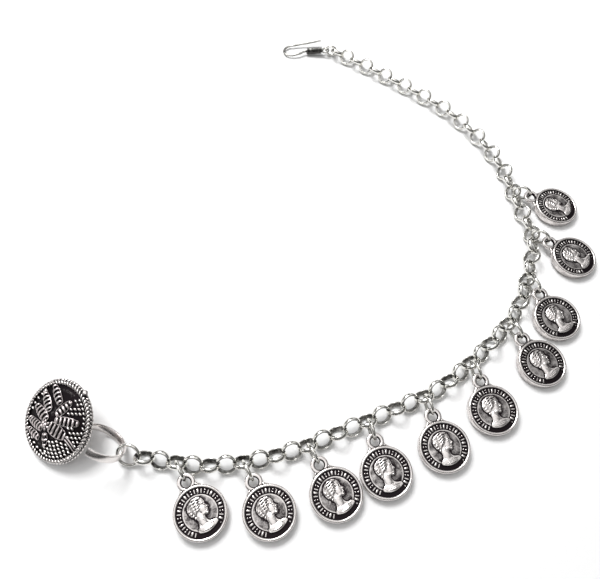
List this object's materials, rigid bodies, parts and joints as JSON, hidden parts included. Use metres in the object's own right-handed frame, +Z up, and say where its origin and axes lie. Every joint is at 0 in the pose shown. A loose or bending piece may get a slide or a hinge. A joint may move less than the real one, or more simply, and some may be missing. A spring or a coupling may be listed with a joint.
{
  "type": "nose ring",
  "caption": "Domed leaf-pattern nose ring with a twisted-wire border and band hoop, joined by a belcher chain with hanging coin charms to a fish-hook hair wire.",
  "frame": {"origin": "middle of the laid-out piece's bounding box, on the surface it lies on", "axes": "+X to the right of the picture, +Y away from the viewer, from the coins to the hair hook, +Z up from the surface"},
  "size_m": [0.1451, 0.1606, 0.0109],
  "materials": {
    "silver": "polished white metal, lightly tarnished",
    "oxidised_silver": "cast white metal, blackened in the recesses and rubbed bright on the relief"
  },
  "bodies": {
    "root": {"nose_ring": "oxidised_silver", "hoop_jump_ring": "silver", "chain": "silver", "coin_01": "oxidised_silver", "coin_ring_01": "silver", "coin_02": "oxidised_silver", "coin_ring_02": "silver", "coin_03": "oxidised_silver", "coin_ring_03": "silver", "coin_04": "oxidised_silver", "coin_ring_04": "silver", "coin_05": "oxidised_silver", "coin_ring_05": "silver", "coin_06": "oxidised_silver", "coin_ring_06": "silver", "coin_07": "oxidised_silver", "coin_ring_07": "silver", "coin_08": "oxidised_silver", "coin_ring_08": "silver", "coin_09": "oxidised_silver", "coin_ring_09": "silver", "coin_10": "oxidised_silver", "coin_ring_10": "silver", "hook_jump_ring": "silver", "hair_hook": "silver"}
  },
  "joints": []
}
